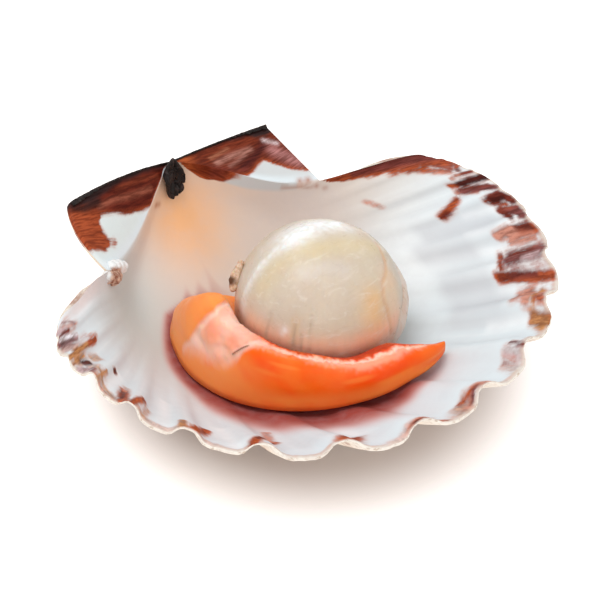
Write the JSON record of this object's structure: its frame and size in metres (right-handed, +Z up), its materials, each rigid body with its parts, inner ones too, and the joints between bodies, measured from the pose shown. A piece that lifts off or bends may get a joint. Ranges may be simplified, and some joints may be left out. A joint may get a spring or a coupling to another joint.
{
  "type": "scallop in shell",
  "caption": "Opened great scallop served in its cupped, ribbed shell, with the round white muscle and the orange coral curled round it.",
  "frame": {"origin": "on the ground, below the middle of the shell's outline", "axes": "+X along the hinge line, from the ear with the notch to the plain ear; +Y from the free edge towards the hinge; +Z up, out of the bowl"},
  "size_m": [0.1302, 0.1186, 0.0413],
  "materials": {
    "shell": "white inside with a soft gloss, red-brown blotches along the edge and ears",
    "muscle": "moist, translucent cream flesh",
    "catch_muscle": "moist, firm cream flesh",
    "coral": "moist, glossy orange roe with a pink skin on top",
    "ligament": "satin brown-black"
  },
  "bodies": {
    "root": {"shell": "shell", "muscle": "muscle", "catch_muscle": "catch_muscle", "coral": "coral", "hinge_wedge": "ligament", "hinge_ligament": "ligament"}
  },
  "joints": []
}
